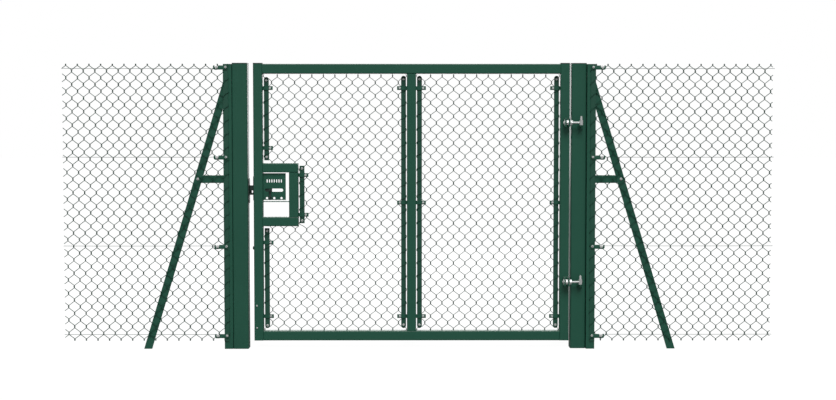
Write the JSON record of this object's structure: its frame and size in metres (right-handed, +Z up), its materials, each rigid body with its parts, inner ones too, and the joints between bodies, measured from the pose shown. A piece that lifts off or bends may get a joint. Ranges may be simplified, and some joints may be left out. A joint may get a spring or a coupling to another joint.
{
  "type": "chain link gate",
  "caption": "Framed chain link gate leaf hung between two square posts, with a sliding lock bolt, braced angle posts and a short run of fence on each side.",
  "frame": {"origin": "middle of the hinge post's foot, at ground level", "axes": "+X along the fence away from the latch post, -Y towards the side with the hinges, +Z up"},
  "size_m": [4.606, 0.1623, 1.8605],
  "materials": {
    "green_coat": "satin powder coat",
    "dark_green_bar": "satin powder coat",
    "green_wire": "plastic coated wire",
    "zinc_plate": "zinc plated",
    "black_coat": "satin black",
    "rubber": "matte rubber"
  },
  "bodies": {
    "posts_and_fence": {"hinge_post": "green_coat", "hinge_post_cap": "green_coat", "latch_post": "green_coat", "latch_post_cap": "green_coat", "keep": "black_coat", "fence_post_left": "green_coat", "fence_bar_left": "dark_green_bar", "strut_left": "green_coat", "brace_left": "green_coat", "fence_fabric_left": "green_wire", "line_wire_left_1": "green_coat", "line_wire_left_2": "green_coat", "line_wire_left_3": "green_coat", "line_wire_left_4": "green_coat", "fence_post_right": "green_coat", "fence_bar_right": "dark_green_bar", "strut_right": "green_coat", "brace_right": "green_coat", "fence_fabric_right": "green_wire", "line_wire_right_1": "green_coat", "line_wire_right_2": "green_coat", "line_wire_right_3": "green_coat", "line_wire_right_4": "green_coat", "hinge_pin_upper": "zinc_plate", "hinge_pin_lower": "zinc_plate"},
    "leaf": {"latch_stile": "green_coat", "hinge_stile": "green_coat", "middle_stile": "green_coat", "top_rail": "green_coat", "bottom_rail": "green_coat", "lock_box_bottom": "green_coat", "lock_box_top": "green_coat", "lock_box_side": "green_coat", "lock_shelf": "green_coat", "lock_plate": "green_coat", "bar_above_lock": "dark_green_bar", "bar_below_lock": "dark_green_bar", "bar_beside_lock": "dark_green_bar", "bar_middle_left": "dark_green_bar", "bar_middle_right": "dark_green_bar", "bar_hinge_side": "dark_green_bar", "fabric_below_lock": "green_wire", "fabric_beside_lock": "green_wire", "fabric_above_lock": "green_wire", "fabric_right_half": "green_wire", "face_plate": "black_coat", "buffer": "rubber", "hinge_eyebolt_upper": "zinc_plate", "hinge_eyebolt_lower": "zinc_plate", "hinge_bracket_upper": "green_coat", "hinge_bracket_lower": "green_coat"},
    "bolt": {"slide_bolt": "black_coat"}
  },
  "joints": [
    {"name": "leaf_swing", "type": "hinge", "parent": "posts_and_fence", "child": "leaf", "pos_m": [0.0095, -0.095, 0], "axis": [0, 0, 1], "range_deg": [0, 175]},
    {"name": "bolt_slide", "type": "slide", "parent": "leaf", "child": "bolt", "axis": [-1, 0, 0], "range_m": [-0.074, 0.02]}
  ]
}
